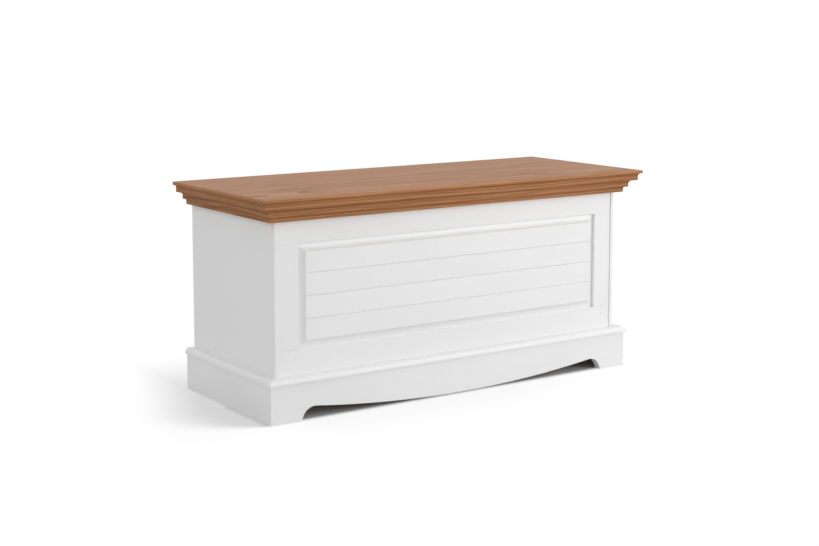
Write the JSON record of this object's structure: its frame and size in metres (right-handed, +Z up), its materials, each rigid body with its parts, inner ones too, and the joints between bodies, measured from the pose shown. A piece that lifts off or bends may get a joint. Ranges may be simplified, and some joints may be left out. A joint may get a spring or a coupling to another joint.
{
  "type": "blanket chest",
  "caption": "Painted blanket chest with a stained hinged lid, stepped cornice, boarded raised front panel, and a plinth with a shaped apron.",
  "frame": {"origin": "middle of the closed chest's footprint, on the floor", "axes": "+X to the right seen from the front, the front faces -Y, +Z up"},
  "size_m": [1.1, 0.4512, 0.508],
  "materials": {
    "painted_wood": "satin white paint",
    "stained_wood": "honey-brown stain under satin lacquer",
    "bare_wood": "planed pine",
    "hinge_metal": "satin",
    "stay_metal": "zinc plated",
    "pad": "felt"
  },
  "bodies": {
    "carcase": {"back_bottom_rail": "painted_wood", "back_panel": "painted_wood", "back_top_rail": "painted_wood", "corner_block_back_left": "bare_wood", "corner_block_back_right": "bare_wood", "corner_block_front_left": "bare_wood", "corner_block_front_right": "bare_wood", "floor_bearer_back": "bare_wood", "floor_bearer_front": "bare_wood", "floor_bearer_left": "bare_wood", "floor_bearer_right": "bare_wood", "floor_board_1": "bare_wood", "floor_board_2": "bare_wood", "floor_board_3": "bare_wood", "floor_board_4": "bare_wood", "front_bottom_rail": "painted_wood", "front_stile_left": "painted_wood", "front_stile_right": "painted_wood", "front_top_rail": "painted_wood", "hinge_carcase_leaf_1": "hinge_metal", "hinge_carcase_leaf_2": "hinge_metal", "hinge_carcase_leaf_3": "hinge_metal", "hinge_pin_1": "hinge_metal", "hinge_pin_2": "hinge_metal", "hinge_pin_3": "hinge_metal", "panel_board_1": "painted_wood", "panel_board_2": "painted_wood", "panel_board_3": "painted_wood", "panel_board_4": "painted_wood", "plinth_apron": "painted_wood", "plinth_cap_front": "painted_wood", "plinth_cap_left": "painted_wood", "plinth_cap_right": "painted_wood", "plinth_side_left": "painted_wood", "plinth_side_right": "painted_wood", "rim_pads": "pad", "side_panel_left": "painted_wood", "side_panel_right": "painted_wood", "stay_base_left": "stay_metal", "stay_base_right": "stay_metal"},
    "lid": {"cornice_front": "stained_wood", "cornice_left": "stained_wood", "cornice_right": "stained_wood", "hinge_lid_leaf_1": "hinge_metal", "hinge_lid_leaf_2": "hinge_metal", "hinge_lid_leaf_3": "hinge_metal", "lid_batten_left": "stained_wood", "lid_batten_right": "stained_wood", "lid_board_1": "stained_wood", "lid_board_2": "stained_wood", "lid_board_3": "stained_wood", "lid_board_4": "stained_wood", "stay_lid_bracket_left": "stay_metal", "stay_lid_bracket_right": "stay_metal"},
    "lower_arm_left": {"stay_lower_arm_left": "stay_metal"},
    "lower_arm_right": {"stay_lower_arm_right": "stay_metal"},
    "upper_arm_left": {"stay_upper_arm_left": "stay_metal"},
    "upper_arm_right": {"stay_upper_arm_right": "stay_metal"}
  },
  "joints": [
    {"name": "lid_hinge", "type": "hinge", "parent": "carcase", "child": "lid", "pos_m": [0, 0.22165, 0.4825], "axis": [-1, 0, 0], "range_deg": [0, 95]},
    {"name": "lower_arm_pivot_left", "type": "hinge", "parent": "carcase", "child": "lower_arm_left", "pos_m": [-0.47745, 0.18165, 0.3325], "axis": [-1, 0, 0], "range_deg": [0, 95]},
    {"name": "upper_arm_pivot_left", "type": "hinge", "parent": "lid", "child": "upper_arm_left", "pos_m": [-0.47465, 0.02165, 0.4685], "axis": [-1, 0, 0], "range_deg": [-95, 0]},
    {"name": "lower_arm_pivot_right", "type": "hinge", "parent": "carcase", "child": "lower_arm_right", "pos_m": [0.47745, 0.18165, 0.3325], "axis": [-1, 0, 0], "range_deg": [0, 95]},
    {"name": "upper_arm_pivot_right", "type": "hinge", "parent": "lid", "child": "upper_arm_right", "pos_m": [0.47465, 0.02165, 0.4685], "axis": [-1, 0, 0], "range_deg": [-95, 0]}
  ],
  "couplings": [
    {"joint": "lower_arm_pivot_left", "follows": "lid_hinge", "ratio": 1},
    {"joint": "upper_arm_pivot_left", "follows": "lid_hinge", "ratio": -1},
    {"joint": "lower_arm_pivot_right", "follows": "lid_hinge", "ratio": 1},
    {"joint": "upper_arm_pivot_right", "follows": "lid_hinge", "ratio": -1}
  ]
}
